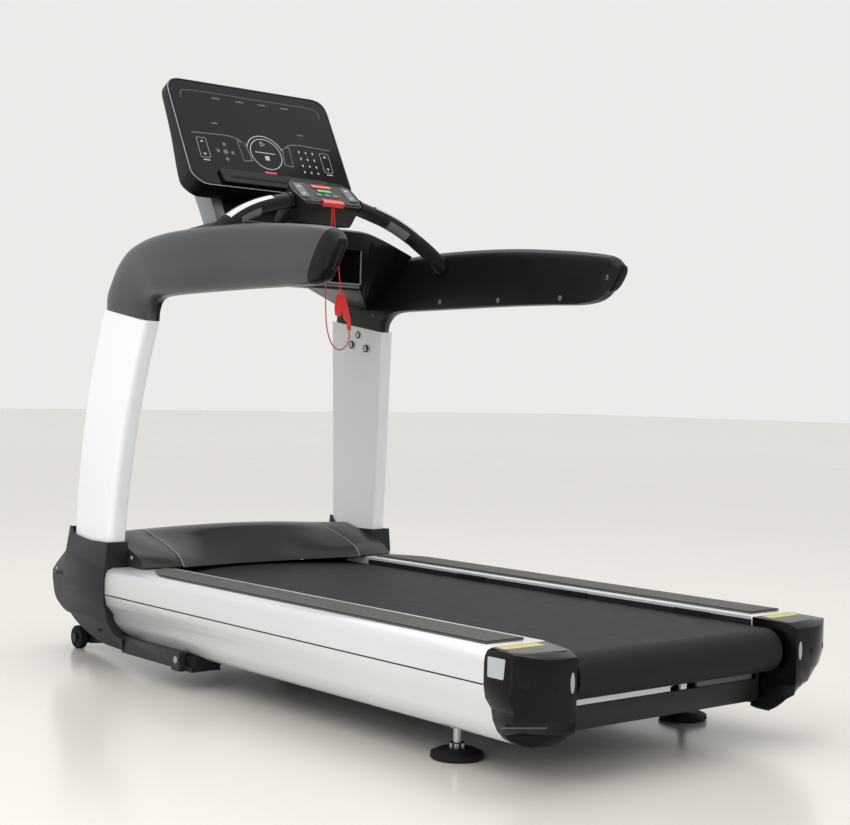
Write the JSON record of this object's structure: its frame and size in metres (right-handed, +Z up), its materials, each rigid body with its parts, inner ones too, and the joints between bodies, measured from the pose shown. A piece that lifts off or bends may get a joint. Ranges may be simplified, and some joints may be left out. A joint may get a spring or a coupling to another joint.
{
  "type": "treadmill",
  "caption": "Motorised treadmill: belt deck between silver side rails, white uprights with long curved handrails, control pod and tilted console.",
  "frame": {"origin": "floor level at the middle of the machine's length and width", "axes": "+Z up, +Y the way the runner faces (towards the console), +X to the runner's right"},
  "size_m": [0.94, 2.0195, 1.5772],
  "materials": {
    "anodised": "satin anodised",
    "white_paint": "satin white powder coat",
    "dark_shell": "satin charcoal plastic",
    "hood_grey": "satin warm grey plastic",
    "black_shell": "fine-textured black plastic",
    "gloss_black": "gloss black plastic",
    "belt": "fine-textured running belt",
    "strip": "ribbed foot strip",
    "rubber": "moulded rubber",
    "steel": "turned steel",
    "frame_paint": "black powder coat",
    "red": "red plastic",
    "cord_red": "braided red cord",
    "green": "green plastic",
    "grey_key": "grey plastic key",
    "post_grey": "silver-grey paint",
    "deck": "waxed fibreboard",
    "aluminium": "cast housing"
  },
  "bodies": {
    "base": {"side_rail_r": "anodised", "side_rail_l": "anodised", "tread_strip_r": "strip", "tread_strip_l": "strip", "end_cap_r": "gloss_black", "end_cap_l": "gloss_black", "chassis_beam_r": "frame_paint", "chassis_beam_l": "frame_paint", "cross_member_rear": "frame_paint", "cross_member_front": "frame_paint", "deck_board": "deck", "running_belt": "belt", "drive_motor": "aluminium", "drive_belt": "rubber", "motor_controller": "aluminium", "front_pan": "dark_shell", "motor_hood": "hood_grey", "corner_cover_r": "hood_grey", "corner_cover_l": "hood_grey", "power_inlet": "black_shell", "boot_r": "dark_shell", "boot_l": "dark_shell", "upright_r": "white_paint", "upright_l": "white_paint", "handrail_outer_r": "dark_shell", "handrail_outer_l": "dark_shell", "handrail_inner_r": "black_shell", "handrail_inner_l": "black_shell", "centre_tray": "black_shell", "control_pod": "black_shell", "grip_bar_r": "black_shell", "grip_bar_l": "black_shell", "pulse_plate_r": "steel", "pulse_plate_l": "steel", "console_shell": "black_shell", "console_face": "gloss_black", "console_post_r": "post_grey", "console_post_l": "post_grey"},
    "drive_roller": {"drive_roller": "steel"},
    "rear_roller": {"rear_roller": "steel"},
    "motor_rotor": {"motor_rotor": "steel"},
    "lift_frame": {"lift_frame": "frame_paint"},
    "front_wheel_l": {"front_wheel_l": "rubber"},
    "front_wheel_r": {"front_wheel_r": "rubber"},
    "lift_motor": {"lift_motor": "aluminium"},
    "lift_screw": {"lift_screw": "steel"},
    "levelling_foot_l": {"levelling_foot_l": "rubber"},
    "levelling_foot_r": {"levelling_foot_r": "rubber"},
    "safety_key": {"safety_key": "red", "safety_cord_a": "cord_red", "safety_cord_b": "cord_red", "safety_clip": "red"},
    "stop_button": {"stop_button": "red"},
    "start_button": {"start_button": "green"},
    "speed_key_1": {"speed_key_1": "grey_key"},
    "speed_key_2": {"speed_key_2": "grey_key"},
    "speed_key_3": {"speed_key_3": "grey_key"},
    "incline_toggle": {"incline_toggle": "grey_key"},
    "speed_toggle": {"speed_toggle": "grey_key"},
    "power_switch": {"power_switch": "red"}
  },
  "joints": [
    {"name": "drive_roller_spin", "type": "hinge", "parent": "base", "child": "drive_roller", "pos_m": [0, 0.64, 0.1995], "axis": [1, 0, 0], "continuous": true},
    {"name": "rear_roller_spin", "type": "hinge", "parent": "base", "child": "rear_roller", "pos_m": [0, -0.946, 0.1995], "axis": [1, 0, 0], "continuous": true},
    {"name": "motor_spin", "type": "hinge", "parent": "base", "child": "motor_rotor", "pos_m": [0, 0.85, 0.1995], "axis": [1, 0, 0], "continuous": true},
    {"name": "lift", "type": "hinge", "parent": "base", "child": "lift_frame", "pos_m": [0, 0.219, 0.08], "axis": [-1, 0, 0], "range_deg": [0, 20]},
    {"name": "front_wheel_l_roll", "type": "hinge", "parent": "lift_frame", "child": "front_wheel_l", "pos_m": [-0.357, 0.923, 0.032], "axis": [1, 0, 0], "continuous": true},
    {"name": "front_wheel_r_roll", "type": "hinge", "parent": "lift_frame", "child": "front_wheel_r", "pos_m": [0.357, 0.923, 0.032], "axis": [1, 0, 0], "continuous": true},
    {"name": "lift_motor_tilt", "type": "hinge", "parent": "base", "child": "lift_motor", "pos_m": [0, 0.74, 0.19], "axis": [-1, 0, 0], "range_deg": [0, 7]},
    {"name": "lift_screw_travel", "type": "slide", "parent": "lift_motor", "child": "lift_screw", "axis": [0, 0, -1], "range_m": [0, 0.185]},
    {"name": "levelling_foot_l_adjust", "type": "slide", "parent": "base", "child": "levelling_foot_l", "axis": [0, 0, 1], "range_m": [-0.02, 0]},
    {"name": "levelling_foot_r_adjust", "type": "slide", "parent": "base", "child": "levelling_foot_r", "axis": [0, 0, 1], "range_m": [-0.02, 0]},
    {"name": "safety_key_pull", "type": "slide", "parent": "base", "child": "safety_key", "axis": [0, -0.6293, 0.7771], "range_m": [0, 0.03]},
    {"name": "stop_button_press", "type": "slide", "parent": "base", "child": "stop_button", "axis": [0, 0.6293, -0.7771], "range_m": [0, 0.0015], "stiffness_N_per_m": 400, "springref_m": -0.0004},
    {"name": "start_button_press", "type": "slide", "parent": "base", "child": "start_button", "axis": [0, 0.6293, -0.7771], "range_m": [0, 0.0015], "stiffness_N_per_m": 400, "springref_m": -0.0004},
    {"name": "speed_key_1_press", "type": "slide", "parent": "base", "child": "speed_key_1", "axis": [0, 0.6293, -0.7771], "range_m": [0, 0.0012], "stiffness_N_per_m": 400, "springref_m": -0.0004},
    {"name": "speed_key_2_press", "type": "slide", "parent": "base", "child": "speed_key_2", "axis": [0, 0.6293, -0.7771], "range_m": [0, 0.0012], "stiffness_N_per_m": 400, "springref_m": -0.0004},
    {"name": "speed_key_3_press", "type": "slide", "parent": "base", "child": "speed_key_3", "axis": [0, 0.6293, -0.7771], "range_m": [0, 0.0012], "stiffness_N_per_m": 400, "springref_m": -0.0004},
    {"name": "incline_toggle_rock", "type": "hinge", "parent": "base", "child": "incline_toggle", "pos_m": [-0.076, 0.28618, 1.25148], "axis": [1, 0, 0], "range_deg": [-3, 3], "stiffness_Nm_per_rad": 2},
    {"name": "speed_toggle_rock", "type": "hinge", "parent": "base", "child": "speed_toggle", "pos_m": [0.076, 0.28618, 1.25148], "axis": [1, 0, 0], "range_deg": [-3, 3], "stiffness_Nm_per_rad": 2},
    {"name": "power_switch_rock", "type": "hinge", "parent": "base", "child": "power_switch", "pos_m": [-0.2465, 1.0035, 0.172], "axis": [1, 0, 0], "range_deg": [0, 10]}
  ],
  "couplings": [
    {"joint": "rear_roller_spin", "follows": "drive_roller_spin", "ratio": 1},
    {"joint": "motor_spin", "follows": "drive_roller_spin", "ratio": 2.15},
    {"joint": "lift_motor_tilt", "follows": "lift", "ratio": 0.311},
    {"joint": "lift_screw_travel", "follows": "lift", "m_per_rad": 0.5154}
  ]
}
